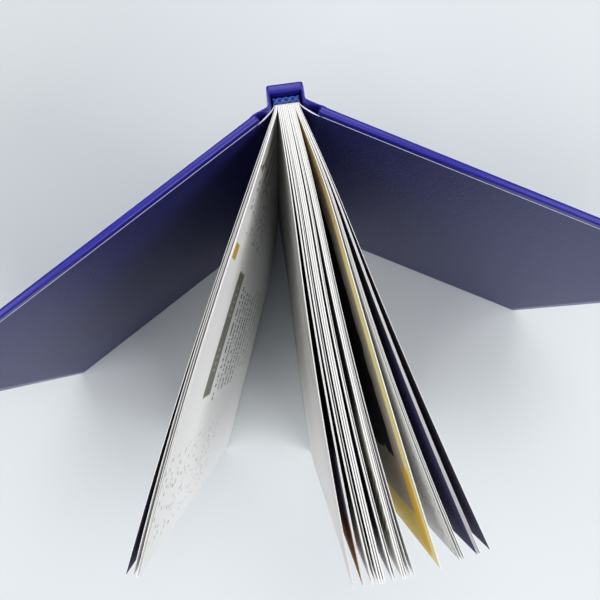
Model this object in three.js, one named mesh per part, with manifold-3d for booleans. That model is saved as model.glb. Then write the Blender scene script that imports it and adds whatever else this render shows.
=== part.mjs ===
// Hardcover fill-in book standing on its tail edge, covers spread and leaves fanned open.
// Millimetres, +Z up. The origin is the centre of the spine's tail end, +Y points out of the
// spine, the leaves reach towards -Y, and the front cover lies on the -X side.
import * as THREE from 'three';
import { mergeVertices } from 'three/addons/utils/BufferGeometryUtils.js';
import Module from 'manifold-3d';

const wasm = await Module();
wasm.setup();

// Leaves of the text block
const leafWidth = 146;
const leafHeight = 210;
const leafThickness = 0.17;
const bindDepth = 1;
const flexLength = 3;
const settleLength = 45;
const settleSteps = 5;
const leafSteps = 6;
const sagAngle = 1.1;
const heightSteps = 4;

// Case: boards, covering sheet and endpapers
const squares = 3;
const foreEdgeSquare = 5;
const boardThickness = 1.8;
const spineBoardThickness = 2;
const sheetThickness = 0.25;
const pasteGap = 0.05;
const turnInWidth = 15;
const endpaperThickness = 0.15;
const boardEdgeRadius = 0.3;
const caseEdgeRadius = 0.5;
const spineCornerRadius = 0.7;
const spineOverhang = 1.86;

// Joints between the spine and the boards
const closedClearance = 0.75;
const hingeSetback = 2.1;
const jointGap = 3.6;
const endpaperHingeGap = 0.6;
const jointSheetThickness = 0.3;
const seamGap = 0.12;
const coverOpenAngle = 60;

// Bands and lining on the back of the block
const bandDiameter = 1.9;
const bandRise = 0.3;
const bandFlangeLength = 8;
const bandFlangeThickness = 0.25;
const spineHollow = 0.9;
const liningThickness = 0.2;
const liningMargin = 3;

// Bundles of leaves from front to back. Angles are in degrees from the closed position,
// positive towards the back cover: at the root, where the leaf has settled, and at the tip.
const bundles = [
  { leaves: 2, head: [-26, -27, -21.2], tail: [-17, -22.6, -24] },
  { leaves: 3, head: [-24.7, -25.8, -22.6], tail: [-14, -21.7, -23.2] },
  { leaves: 2, head: [0.9, -1.1, 3.2], tail: [1.5, -1, -0.2] },
  { leaves: 3, head: [2, 0.1, 3.7], tail: [2.2, -0.6, 0.4] },
  { leaves: 4, head: [3, 0.4, 5.6], tail: [3, -0.1, 1.4] },
  { leaves: 9, head: [3.8, 1.1, 5.8], tail: [3.8, 0.6, 2] },
  { leaves: 4, head: [5.2, 1.4, 7.6], tail: [5, 1.2, 3] },
  { leaves: 7, head: [5.9, 3.2, 6.9], tail: [5.6, 2.2, 3.4] },
  { leaves: 2, head: [6.3, 3.5, 9.2], tail: [5.8, 2.6, 4.4] },
  { leaves: 2, head: [9, 9.5, 9], tail: [7, 5.6, 5.2] },
  { leaves: 3, head: [15, 8.1, 15.1], tail: [10, 7, 8.6] },
  { leaves: 3, head: [15.8, 11.5, 15.7], tail: [12, 9.8, 11.2] },
];
const frontFlyleaf = { leaves: 1, head: [-27.2, -27, -23.4], tail: [-20, -23.4, -24.6] };
const backFlyleaf = { leaves: 1, head: [16.2, 13.5, 16.5], tail: [13.4, 12, 13.2] };
const flyleafGap = 0.08;

const colours = {
  cover: 0x3a3499,
  endpaper: 0x24234f,
  paper: 0xece9e2,
  band: 0x3346b5,
  lining: 0xd9d4c8,
  greyboard: 0xa39b8c,
};

// Derived sizes
const leafCount = bundles.reduce((sum, bundle) => sum + bundle.leaves, 0);
const blockThickness = leafCount * leafThickness;
const caseHeight = leafHeight + 2 * squares;
const blockTail = squares;
const blockHead = squares + leafHeight;
const sheetOffset = sheetThickness + pasteGap;
const spineThickness = spineBoardThickness + 2 * sheetOffset;
const spineWidth = blockThickness + 2 * spineOverhang;
const blockBackY = -(spineThickness / 2 + spineHollow + bandDiameter);
const hingeY = blockBackY - hingeSetback;
const turnInInner = -sheetOffset;
const pastedownOuter = turnInInner - pasteGap;
const pastedownInner = pastedownOuter - endpaperThickness;
const hingeX = blockThickness / 2 + closedClearance - pastedownInner;
const coverOuter = boardThickness + sheetOffset;
const coverEnd = leafWidth + foreEdgeSquare - blockBackY + hingeY;
const sag = Math.sin(THREE.MathUtils.degToRad(sagAngle));
const boardEnd = coverEnd - sheetOffset;

function material(colour, roughness) {
  return new THREE.MeshStandardMaterial({ color: colour, roughness, metalness: 0 });
}

function namedMesh(name, geometry, colour, roughness) {
  const mesh = new THREE.Mesh(geometry, material(colour, roughness));
  mesh.name = name;
  return mesh;
}

// Solid booleans
function toSolid(geometry) {
  const bare = geometry.clone();
  bare.deleteAttribute('normal');
  bare.deleteAttribute('uv');
  const merged = mergeVertices(bare, 1e-5);
  const vertProperties = new Float32Array(merged.attributes.position.array);
  const triVerts = new Uint32Array(merged.index.array);
  return new wasm.Manifold(new wasm.Mesh({ numProp: 3, vertProperties, triVerts }));
}

function toGeometry(solid) {
  const mesh = solid.getMesh();
  const geometry = new THREE.BufferGeometry();
  geometry.setAttribute('position', new THREE.BufferAttribute(new Float32Array(mesh.vertProperties), 3));
  geometry.setIndex(new THREE.BufferAttribute(new Uint32Array(mesh.triVerts), 1));
  geometry.computeVertexNormals();
  return geometry;
}

// Box between two corners
function boxBetween(low, high) {
  const size = high.map((value, axis) => value - low[axis]);
  const geometry = new THREE.BoxGeometry(...size);
  return geometry.translate(...low.map((value, axis) => value + size[axis] / 2));
}

// Slab between two corners, its four upright edges and both ends rounded
function roundedSlab(low, high, cornerRadius, endRadius) {
  const [width, depth, height] = high.map((value, axis) => value - low[axis]);
  const x = width / 2;
  const y = depth / 2;
  const r = cornerRadius;
  const shape = new THREE.Shape();
  shape.absarc(x - r, y - r, r, 0, Math.PI / 2);
  shape.absarc(r - x, y - r, r, Math.PI / 2, Math.PI);
  shape.absarc(r - x, r - y, r, Math.PI, 1.5 * Math.PI);
  shape.absarc(x - r, r - y, r, 1.5 * Math.PI, 2 * Math.PI);
  shape.closePath();
  const geometry = new THREE.ExtrudeGeometry(shape, {
    depth: height - 2 * endRadius,
    curveSegments: 4,
    bevelThickness: endRadius,
    bevelSize: endRadius,
    bevelOffset: -endRadius,
    bevelSegments: 3,
  });
  return geometry.translate(low[0] + x, low[1] + y, low[2] + endRadius);
}

// Direction of a leaf, at a distance along it from the back of the block
function leafAngle([rootAngle, settledAngle, tipAngle], distance) {
  const bent = THREE.MathUtils.smoothstep(distance, 0, flexLength);
  const settled = THREE.MathUtils.smoothstep(distance, flexLength, settleLength);
  const spread = THREE.MathUtils.clamp((distance - settleLength) / (leafWidth - settleLength), 0, 1);
  const near = THREE.MathUtils.lerp(rootAngle * bent, settledAngle, settled);
  return near + (tipAngle - settledAngle) * spread;
}

// Both faces of a bundle of leaves in plan, sampled from the binding out to the fore-edge;
// drop is how far the leaves have sagged there
function bundleFaces(centreX, thickness, angles, stretch) {
  const stations = [0, bindDepth];
  for (let step = 0; step < settleSteps; step += 1) {
    stations.push(THREE.MathUtils.lerp(flexLength, settleLength, step / settleSteps));
  }
  for (let step = 0; step <= leafSteps; step += 1) {
    stations.push(THREE.MathUtils.lerp(settleLength, leafWidth, step / leafSteps));
  }
  const centre = new THREE.Vector2(centreX, blockBackY);
  const front = [];
  const back = [];
  stations.forEach((distance, index) => {
    if (index > 0) {
      const before = stations[index - 1];
      const middle = THREE.MathUtils.degToRad(leafAngle(angles, (before + distance) / 2));
      const length = (distance - before) * stretch;
      centre.x += length * Math.sin(middle);
      centre.y -= length * Math.cos(middle);
    }
    const angle = THREE.MathUtils.degToRad(leafAngle(angles, distance));
    const side = new THREE.Vector2(Math.cos(angle), Math.sin(angle)).multiplyScalar(thickness / 2);
    const drop = distance * sag;
    front.push({ point: centre.clone().sub(side), drop });
    back.push({ point: centre.clone().add(side), drop });
  });
  return { front, back };
}

// Closed comb outline of the fanned block: each bundle is a tooth, and neighbouring bundles
// join at the depth where the binding holds them. The sagging leaves hang forward at the head
// and back at the tail
function blockOutline(fan, startX, mix) {
  let edgeX = startX;
  const stretch = 1 + ((mix - 0.5) * leafHeight * sag) / leafWidth;
  const faces = fan.map(({ leaves, head, tail }) => {
    const thickness = leaves * leafThickness;
    const angles = head.map((value, end) => THREE.MathUtils.lerp(tail[end], value, mix));
    const pair = bundleFaces(edgeX + thickness / 2, thickness, angles, stretch);
    edgeX += thickness;
    return pair;
  });
  const outgoing = (place) => ({ ...place, outgoing: true });
  const incoming = (place) => ({ ...place, outgoing: false });
  const first = faces[0].front;
  const last = faces[faces.length - 1].back;
  const outline = [outgoing(last[0]), outgoing(first[0])];
  faces.forEach(({ front, back }, index) => {
    const { point, drop } = front[1];
    const notch = index === 0 ? point : faces[index - 1].back[1].point.clone().lerp(point, 0.5);
    outline.push(outgoing({ point: notch, drop }));
    outline.push(...front.slice(2).map(outgoing), ...back.slice(2).reverse().map(incoming));
  });
  outline.push(incoming(last[1]));
  return outline;
}

// Loft of the fanned outline from tail to head; the fan changes evenly on the way up
function fannedLeaves(fan, startX) {
  const positions = [];
  const indices = [];
  const layers = [];
  for (let level = 0; level <= heightSteps; level += 1) {
    const mix = level / heightSteps;
    const outline = blockOutline(fan, startX, mix);
    const z = THREE.MathUtils.lerp(blockTail, blockHead, mix);
    outline.forEach(({ point, drop }) => positions.push(point.x, point.y, z - drop));
    layers.push(outline);
  }
  const count = layers[0].length;
  for (let level = 0; level < heightSteps; level += 1) {
    for (let i = 0; i < count; i += 1) {
      const next = (i + 1) % count;
      const a = level * count + i;
      const b = level * count + next;
      const c = b + count;
      const d = a + count;
      if (layers[level][i].outgoing) {
        indices.push(a, b, c, a, c, d);
      } else {
        indices.push(a, b, d, b, c, d);
      }
    }
  }
  const cap = (level, flip) => {
    const contour = layers[level].map(({ point }) => point);
    THREE.ShapeUtils.triangulateShape(contour, []).forEach(([a, b, c]) => {
      const corners = flip ? [c, b, a] : [a, b, c];
      corners.forEach((corner) => indices.push(level * count + corner));
    });
  };
  cap(0, true);
  cap(heightSteps, false);
  const geometry = new THREE.BufferGeometry();
  geometry.setAttribute('position', new THREE.Float32BufferAttribute(positions, 3));
  geometry.setIndex(indices);
  geometry.computeVertexNormals();
  return geometry;
}

function makeTextBlock() {
  const block = new THREE.Group();
  const startX = -blockThickness / 2;
  block.add(namedMesh('pages', fannedLeaves(bundles, startX), colours.paper, 0.85));
  const frontX = startX - flyleafGap - leafThickness;
  block.add(namedMesh('front_flyleaf', fannedLeaves([frontFlyleaf], frontX), colours.endpaper, 0.8));
  const backX = blockThickness / 2 + flyleafGap;
  block.add(namedMesh('back_flyleaf', fannedLeaves([backFlyleaf], backX), colours.endpaper, 0.8));
  return block;
}

// Woven band across the back of the block: a bead that rises above the leaves, on a flange
// pasted down the back
function bandGeometry() {
  const radius = bandDiameter / 2;
  const faceY = blockBackY + pasteGap;
  const beadY = faceY + radius;
  const beadZ = blockHead + bandRise;
  const flangeY = faceY + bandFlangeThickness;
  const meet = Math.acos((beadY - flangeY) / radius);
  const shape = new THREE.Shape();
  shape.moveTo(faceY, blockHead - bandFlangeLength);
  shape.lineTo(flangeY, blockHead - bandFlangeLength);
  shape.absarc(beadY, beadZ, radius, Math.PI + meet, 3 * Math.PI, false);
  shape.closePath();
  const geometry = new THREE.ExtrudeGeometry(shape, {
    depth: blockThickness,
    curveSegments: 12,
    bevelEnabled: false,
  });
  geometry.translate(0, 0, -blockThickness / 2);
  const sideways = new THREE.Matrix4().makeBasis(
    new THREE.Vector3(0, 1, 0),
    new THREE.Vector3(0, 0, 1),
    new THREE.Vector3(1, 0, 0),
  );
  return geometry.applyMatrix4(sideways);
}

function makeBands() {
  const bands = new THREE.Group();
  bands.add(namedMesh('head_band', bandGeometry(), colours.band, 0.7));
  const tailBand = namedMesh('tail_band', bandGeometry(), colours.band, 0.7);
  tailBand.rotation.y = Math.PI;
  tailBand.position.z = caseHeight;
  bands.add(tailBand);
  const faceY = blockBackY + pasteGap;
  const endZ = squares + bandFlangeLength + liningMargin;
  const lining = boxBetween(
    [-blockThickness / 2, faceY, endZ],
    [blockThickness / 2, faceY + liningThickness, caseHeight - endZ],
  );
  bands.add(namedMesh('spine_lining', lining, colours.lining, 0.9));
  return bands;
}

// Spine of the case: a stiff strip in the covering sheet, which turns in at head and tail
function makeSpine() {
  const spine = new THREE.Group();
  const x = spineWidth / 2;
  const y = spineThickness / 2;
  const outer = roundedSlab([-x, -y, 0], [x, y, caseHeight], spineCornerRadius, caseEdgeRadius);
  const wall = sheetThickness;
  const pocket = boxBetween([wall - x, wall - y, wall], [x - wall, y - wall, caseHeight - wall]);
  const window = boxBetween([wall - x, -2 * y, turnInWidth], [x - wall, 0, caseHeight - turnInWidth]);
  const wrap = toSolid(outer).subtract(toSolid(pocket)).subtract(toSolid(window));
  spine.add(namedMesh('spine_wrap', toGeometry(wrap), colours.cover, 0.4));
  const inset = sheetOffset;
  const strip = roundedSlab(
    [inset - x, inset - y, inset],
    [x - inset, y - inset, caseHeight - inset],
    boardEdgeRadius * 1.2,
    boardEdgeRadius,
  );
  spine.add(namedMesh('spine_board', strip, colours.greyboard, 0.9));
  return spine;
}

// Covering sheet in the joint, seen in plan: down from the spine's edge, then out to the board
function jointSheet() {
  const turn = THREE.MathUtils.degToRad(coverOpenAngle);
  const along = new THREE.Vector2(Math.sin(turn), -Math.cos(turn));
  const out = new THREE.Vector2(Math.cos(turn), Math.sin(turn));
  const half = jointSheetThickness / 2;
  const start = new THREE.Vector2(spineWidth / 2 - half, -spineThickness / 2 - seamGap);
  const end = new THREE.Vector2(hingeX, hingeY)
    .addScaledVector(along, jointGap - seamGap)
    .addScaledVector(out, coverOuter - half);
  const drop = start.y - end.y;
  const curve = new THREE.CubicBezierCurve(
    start,
    start.clone().add(new THREE.Vector2(0, -drop * 0.8)),
    end.clone().addScaledVector(along, -drop * 0.5),
    end,
  );
  const centre = curve.getPoints(12);
  const offset = (side) => centre.map((point, index) => {
    const tangent = curve.getTangent(index / 12);
    return new THREE.Vector2(point.x - side * tangent.y, point.y + side * tangent.x);
  });
  const shape = new THREE.Shape([...offset(half), ...offset(-half).reverse()]);
  return new THREE.ExtrudeGeometry(shape, { depth: caseHeight, bevelEnabled: false });
}

// Cover in its closed position beside the hinge line: x runs outwards, -y towards the
// fore-edge, and z from the middle of the height
function makeCover(name) {
  const cover = new THREE.Group();
  const half = caseHeight / 2;
  const outer = roundedSlab(
    [turnInInner, -coverEnd, -half],
    [coverOuter, 0, half],
    spineCornerRadius,
    caseEdgeRadius,
  );
  const wall = sheetThickness;
  const pocket = boxBetween(
    [turnInInner + wall, wall - coverEnd, wall - half],
    [coverOuter - wall, 0, half - wall],
  );
  const jointEnd = boxBetween([-coverOuter, -jointGap, -half], [2 * coverOuter, 1, half]);
  const opening = half - turnInWidth;
  const window = boxBetween([-coverOuter, turnInWidth - coverEnd, -opening], [0, 0, opening]);
  const wrap = [pocket, jointEnd, window].reduce(
    (solid, cutter) => solid.subtract(toSolid(cutter)),
    toSolid(outer),
  );
  cover.add(namedMesh(`${name}_wrap`, toGeometry(wrap), colours.cover, 0.4));

  const board = roundedSlab(
    [0, -boardEnd, sheetOffset - half],
    [boardThickness, -jointGap, half - sheetOffset],
    boardEdgeRadius * 1.2,
    boardEdgeRadius,
  );
  cover.add(namedMesh(`${name}_board`, board, colours.greyboard, 0.9));

  const sheet = boxBetween(
    [pastedownInner, squares - coverEnd, squares - half],
    [pastedownOuter, -endpaperHingeGap, half - squares],
  );
  const margin = seamGap;
  const pad = boxBetween(
    [pastedownInner, turnInWidth + margin - coverEnd, margin - opening],
    [-pasteGap, -jointGap - margin, opening - margin],
  );
  const pastedown = toSolid(sheet).add(toSolid(pad));
  cover.add(namedMesh(`${name}_pastedown`, toGeometry(pastedown), colours.endpaper, 0.8));
  return cover;
}

// The back cover swings towards +X; the front cover is the same cover turned end for end
function placeCover(name, side) {
  const swing = new THREE.Group();
  const cover = makeCover(name);
  cover.rotation.y = side > 0 ? 0 : Math.PI;
  swing.rotation.z = side * THREE.MathUtils.degToRad(coverOpenAngle);
  swing.position.set(side * hingeX, hingeY, caseHeight / 2);
  swing.add(cover);
  return swing;
}

function makeJoints() {
  const joints = new THREE.Group();
  joints.add(namedMesh('back_joint_strip', jointSheet(), colours.cover, 0.4));
  const front = namedMesh('front_joint_strip', jointSheet(), colours.cover, 0.4);
  front.rotation.y = Math.PI;
  front.position.z = caseHeight;
  joints.add(front);
  return joints;
}

const book = new THREE.Group();
book.add(makeTextBlock());
book.add(makeBands());
book.add(makeSpine());
book.add(makeJoints());
book.add(placeCover('front', -1));
book.add(placeCover('back', 1));

export default book;
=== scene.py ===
"""Hardcover fill-in book, standing on its tail edge with covers spread and leaves fanned.

The part's own frame is used throughout: +Z from tail to head, +Y out of the spine, +X
towards the back cover, metres in Blender and millimetres in the sizes below.
"""
from __future__ import annotations

import logging
import math
from dataclasses import dataclass
from enum import Enum
from typing import Any, Callable, Iterable, Sequence

import bpy
import numpy as np
from bpy.types import Material, NodeSocket, NodeTree, Object
from mathutils import Matrix, Vector


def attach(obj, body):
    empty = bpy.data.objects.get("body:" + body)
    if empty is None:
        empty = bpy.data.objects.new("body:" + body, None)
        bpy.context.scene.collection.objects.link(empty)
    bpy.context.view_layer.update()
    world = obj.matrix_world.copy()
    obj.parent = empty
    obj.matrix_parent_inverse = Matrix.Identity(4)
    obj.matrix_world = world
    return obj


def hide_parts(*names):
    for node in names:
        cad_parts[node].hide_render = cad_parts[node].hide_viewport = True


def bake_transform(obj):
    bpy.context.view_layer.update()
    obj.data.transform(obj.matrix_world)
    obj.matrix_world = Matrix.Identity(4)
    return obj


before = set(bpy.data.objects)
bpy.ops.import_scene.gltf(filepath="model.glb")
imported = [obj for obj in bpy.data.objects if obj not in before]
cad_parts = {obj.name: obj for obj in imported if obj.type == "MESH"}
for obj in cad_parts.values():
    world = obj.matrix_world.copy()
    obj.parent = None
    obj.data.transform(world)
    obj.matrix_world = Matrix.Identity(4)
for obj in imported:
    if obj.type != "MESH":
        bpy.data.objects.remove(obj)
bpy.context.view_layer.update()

Pair = tuple[float, float]
Triple = tuple[float, float, float]
Sockets = tuple[tuple[str, Any], ...]

MM = 0.001
LOG = logging.getLogger("book")
RANDOM_SEED = 7
SHARP_ANGLE = math.radians(40)
LEAST_RADIUS = 0.02
LEAST_SPAN = 1e-6
TUBE_REFERENCE = (0.31, 0.17, 0.94)
FIRST_FACE, LAST_FACE, RIM, INNER_FACE = range(4)


class Side(Enum):
    """The two covers; the value is the sign of the side's X."""

    FRONT = -1
    BACK = 1

    @property
    def label(self) -> str:
        """Name of the side, as the bodies and nodes use it."""
        return self.name.lower()


class Style(Enum):
    """How a printed mark fills its rectangle on the page."""

    SOLID = "solid"
    TEXT_ROWS = "rows of short dashes"
    DOTS = "dots"
    RULED_LINES = "ruled lines"
    SPECKLE = "speckle"
    ARC = "arc"
    STRIPES = "diagonal stripes"


@dataclass(frozen=True)
class BookSizes:
    """Sizes of the book in millimetres, as the solids have them.

    Attributes:
        leaf_width: Spine to fore-edge of a leaf.
        leaf_height: Tail to head of a leaf.
        leaf_pitch: Thickness that each leaf takes in the bound block.
        leaf_thickness: Thickness of the paper itself.
        flex_length: Stretch of leaf that bends beside the binding.
        settle_length: Distance from the binding at which a leaf has settled to its own line.
        sag_angle: How far the leaves have sunk towards the tail at the fore-edge, in degrees.
        squares: How far the boards stand over the leaves at head and tail.
        fore_edge_square: The same at the fore-edge.
        sheet_offset: Room that the covering sheet takes on each face of a board.
        turn_in: Width of the covering sheet turned over the edges.
        spine_thickness: Thickness of the spine strip in its sheet.
        spine_hollow: Gap between the spine strip and the bands.
        hinge_x: Distance of a hinge line from the book's middle.
        hinge_y: Y of the hinge lines.
        cover_angle: Angle of each cover from closed, in degrees.
    """

    leaf_width: float = 146.0
    leaf_height: float = 210.0
    leaf_pitch: float = 0.17
    leaf_thickness: float = 0.14
    flex_length: float = 3.0
    settle_length: float = 45.0
    sag_angle: float = 1.1
    squares: float = 3.0
    fore_edge_square: float = 5.0
    board_thickness: float = 1.8
    sheet_offset: float = 0.3
    turn_in: float = 15.0
    spine_width: float = 11.2
    spine_thickness: float = 2.6
    band_diameter: float = 1.9
    spine_hollow: float = 0.9
    hinge_x: float = 4.99
    hinge_y: float = -6.2
    cover_angle: float = 60.0

    @property
    def case_height(self) -> float:
        """Tail to head of the boards."""
        return self.leaf_height + 2 * self.squares

    @property
    def block_back(self) -> float:
        """Y of the back of the block."""
        return -(self.spine_thickness / 2 + self.spine_hollow + self.band_diameter)

    @property
    def cover_end(self) -> float:
        """Distance from the hinge line to the fore-edge of a board."""
        return self.leaf_width + self.fore_edge_square - self.block_back + self.hinge_y

    @property
    def cover_outer(self) -> float:
        """Distance of a cover's outer face from its hinge plane."""
        return self.board_thickness + self.sheet_offset


SIZES = BookSizes()


# Mesh helpers


def grid_quads(rows: int, columns: int, wrap: bool = False) -> np.ndarray:
    """Quads of a grid of rows by columns points, numbered row by row.

    Args:
        rows: Number of points along the first parameter.
        columns: Number of points along the second parameter.
        wrap: Join the last column to the first, as on a tube.

    Returns:
        One row of four indices for each quad.
    """
    index = np.arange(rows * columns).reshape(rows, columns)
    if wrap:
        index = np.concatenate([index, index[:, :1]], axis=1)
    corners = [index[:-1, :-1], index[1:, :-1], index[1:, 1:], index[:-1, 1:]]
    return np.stack(corners, axis=-1).reshape(-1, 4)


def smooth_step(value: np.ndarray, low: float, high: float) -> np.ndarray:
    """Share from 0 at low to 1 at high, level at both ends: 3 t squared less 2 t cubed."""
    share = np.clip((value - low) / (high - low), 0, 1)
    return share * share * (3 - 2 * share)


@dataclass
class Surface:
    """Points, faces and UVs of one closed piece, in millimetres.

    Attributes:
        points: One row of x, y, z for each vertex.
        faces: Vertex indices of each face.
        uvs: One row of u, v for each vertex.
        tints: Material slot of each face: FIRST_FACE, LAST_FACE, RIM or INNER_FACE on a sheet.
    """

    points: np.ndarray
    faces: list[Sequence[int]]
    uvs: np.ndarray
    tints: np.ndarray

    def flipped(self) -> "Surface":
        """The same surface with its faces turned over."""
        faces = [tuple(face)[::-1] for face in self.faces]
        return Surface(self.points, faces, self.uvs, self.tints)


def joined(surfaces: Iterable[Surface]) -> Surface:
    """Several surfaces as one, with their indices moved along.

    Args:
        surfaces: The surfaces to put together.

    Returns:
        One surface that holds them all.
    """
    points, faces, uvs, tints, start = [], [], [], [], 0
    for surface in surfaces:
        points.append(surface.points)
        uvs.append(surface.uvs)
        tints.append(surface.tints)
        faces.extend(tuple(int(i) + start for i in face) for face in surface.faces)
        start += len(surface.points)
    return Surface(np.concatenate(points), faces, np.concatenate(uvs), np.concatenate(tints))


def thin_solid(
    middle: np.ndarray,
    normal: np.ndarray,
    thickness: np.ndarray | float,
    row_shares: np.ndarray | None = None,
) -> Surface:
    """Closed thin solid: a grid surface moved half its thickness each way along its normal.

    Args:
        middle: Points of the middle surface, rows by columns by 3.
        normal: Unit normals at those points.
        thickness: Thickness, one number or one for each point.
        row_shares: U of each row, where the rows are not evenly spaced.

    Returns:
        The solid. Faces on the far side of the normal are tinted FIRST_FACE, those on its
        own side LAST_FACE, and the rim RIM.
    """
    rows, columns = middle.shape[:2]
    half = np.broadcast_to(np.asarray(thickness, dtype=float) / 2, (rows, columns))[..., None]
    count = rows * columns
    points = np.concatenate([(middle + way * half * normal).reshape(-1, 3) for way in (-1, 1)])
    near = grid_quads(rows, columns)
    index = np.arange(count).reshape(rows, columns)
    loop = np.concatenate([index[:-1, 0], index[-1, :-1], index[:0:-1, -1], index[0, :0:-1]])
    after = np.roll(loop, -1)
    rim = np.stack([after, loop, loop + count, after + count], axis=-1)
    shares = np.linspace(0, 1, rows) if row_shares is None else row_shares
    u, v = np.meshgrid(shares, np.linspace(0, 1, columns), indexing="ij")
    uv = np.stack([u, v], axis=-1).reshape(-1, 2)
    faces = np.concatenate([near, near[:, ::-1] + count, rim])
    tints = np.repeat([FIRST_FACE, LAST_FACE, RIM], [len(near), len(near), len(rim)])
    return Surface(points, [tuple(face) for face in faces], np.concatenate([uv, uv]), tints)


def rounded_slab(
    low: Sequence[float],
    high: Sequence[float],
    corner: float,
    end: float,
    steps: int = 5,
    lengthwise: int = 2,
) -> Surface:
    """Slab whose four long edges and both ends are rounded.

    Its section is a rectangle with corners of radius corner. Towards each end the section
    draws in by end * (1 - sin t) while its height goes end * (1 - cos t), a quarter round.

    Args:
        low: Lowest corner.
        high: Highest corner.
        corner: Radius of the long edges, along the third axis.
        end: Radius of the edges round each end.
        steps: Segments in each quarter round.
        lengthwise: Sections along the straight stretch.

    Returns:
        The closed slab, tinted 0.
    """
    low, high = np.asarray(low, dtype=float), np.asarray(high, dtype=float)
    half = (high - low) / 2
    middle = (high + low) / 2
    turn = np.linspace(0, math.pi / 2, steps + 1)
    angles = np.concatenate([turn + quarter * math.pi / 2 for quarter in range(4)])
    signs = np.repeat([(1, 1), (-1, 1), (-1, -1), (1, -1)], steps + 1, axis=0)
    bottom_in = end * (1 - np.sin(turn))
    bottom_z = -half[2] + end * (1 - np.cos(turn))
    straight = np.linspace(bottom_z[-1], -bottom_z[-1], lengthwise + 1)[1:-1]
    inset = np.concatenate([bottom_in, np.zeros(len(straight)), bottom_in[::-1]])
    heights = np.concatenate([bottom_z, straight, -bottom_z[::-1]])
    radius = np.maximum(corner - inset, LEAST_RADIUS)[:, None]
    x = (half[0] - inset[:, None] - radius) * signs[None, :, 0] + radius * np.cos(angles)
    y = (half[1] - inset[:, None] - radius) * signs[None, :, 1] + radius * np.sin(angles)
    z = np.broadcast_to(heights[:, None], x.shape)
    rows, columns = x.shape
    points = np.stack([x, y, z], axis=-1).reshape(-1, 3) + middle
    quads = grid_quads(rows, columns, wrap=True)
    faces: list[Sequence[int]] = [tuple(face)[::-1] for face in quads]
    faces.append(tuple(range(columns))[::-1])
    faces.append(tuple(range((rows - 1) * columns, rows * columns)))
    uv = points[:, [0, 2]] / np.maximum(2 * half[[0, 2]], LEAST_SPAN)
    return Surface(points, faces, uv, np.zeros(len(faces), dtype=int))


def tube(path: np.ndarray, radius: float, sides: int = 8, closed: bool = False) -> Surface:
    """Round tube along a path: a circle of that radius square to the path at each point.

    Args:
        path: Points along the middle, one row each.
        radius: Radius of the tube.
        sides: Points round the circle.
        closed: Whether the path joins its own start.

    Returns:
        The closed tube, tinted 0.
    """
    ahead = np.roll(path, -1, axis=0) - np.roll(path, 1, axis=0)
    if not closed:
        ahead[0] = path[1] - path[0]
        ahead[-1] = path[-1] - path[-2]
    ahead /= np.linalg.norm(ahead, axis=1, keepdims=True)
    side = np.cross(ahead, np.array(TUBE_REFERENCE))
    side /= np.linalg.norm(side, axis=1, keepdims=True)
    up = np.cross(ahead, side)
    turn = np.linspace(0, 2 * math.pi, sides, endpoint=False)
    cosine, sine = np.cos(turn)[None, :, None], np.sin(turn)[None, :, None]
    ring = cosine * side[:, None] + sine * up[:, None]
    points = (path[:, None] + radius * ring).reshape(-1, 3)
    rows = len(path)
    quads = grid_quads(rows, sides, wrap=True)[:, ::-1]
    faces: list[Sequence[int]] = [tuple(face) for face in quads]
    if closed:
        last = (rows - 1) * sides
        for i in range(sides):
            j = (i + 1) % sides
            faces.append((last + i, last + j, j, i))
    else:
        faces.append(tuple(range(sides))[::-1])
        faces.append(tuple(range((rows - 1) * sides, rows * sides)))
    u, v = np.meshgrid(np.linspace(0, 1, rows), turn / (2 * math.pi), indexing="ij")
    uv = np.stack([u, v], axis=-1).reshape(-1, 2)
    return Surface(points, faces, uv, np.zeros(len(faces), dtype=int))


def make_object(
    name: str, surface: Surface, finishes: Sequence[Material]
) -> Object:
    """Object at the origin with this surface as its mesh.

    Args:
        name: Name of the piece.
        surface: Its points, faces, UVs and tints.
        finishes: One material for each tint.

    Returns:
        The new object, linked to the scene.
    """
    mesh = bpy.data.meshes.new(name)
    faces = [list(map(int, face)) for face in surface.faces]
    mesh.from_pydata((surface.points * MM).tolist(), [], faces)
    for finish in finishes:
        mesh.materials.append(finish)
    mesh.polygons.foreach_set("material_index", surface.tints.astype(np.int32))
    layer = mesh.uv_layers.new(name="UVMap")
    corners = np.empty(len(mesh.loops), dtype=np.int32)
    mesh.loops.foreach_get("vertex_index", corners)
    layer.data.foreach_set("uv", surface.uvs[corners].astype(np.float32).ravel())
    mesh.update()
    mesh.shade_smooth()
    mesh.set_sharp_from_angle(angle=SHARP_ANGLE)
    piece = bpy.data.objects.new(name, mesh)
    bpy.context.scene.collection.objects.link(piece)
    return piece


# Materials


def linear(hex_colour: str) -> tuple[float, float, float, float]:
    """Linear colour of an sRGB hex value.

    Args:
        hex_colour: Six hex digits after a hash.

    Returns:
        Red, green, blue and alpha for a shader socket.
    """
    channels = [int(hex_colour[i : i + 2], 16) / 255 for i in (1, 3, 5)]
    red, green, blue = (c / 12.92 if c <= 0.04045 else ((c + 0.055) / 1.055) ** 2.4 for c in channels)
    return (red, green, blue, 1.0)


def fill_inputs(tree: NodeTree, node: Any, inputs: dict[Any, Any]) -> None:
    """Sets a node's inputs to values, or links them where the value is an output socket.

    Args:
        tree: Node tree that holds the node.
        node: The node.
        inputs: Value or output socket for each input, by name or number.
    """
    for key, value in inputs.items():
        if isinstance(value, NodeSocket):
            tree.links.new(value, node.inputs[key])
        else:
            node.inputs[key].default_value = value


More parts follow.
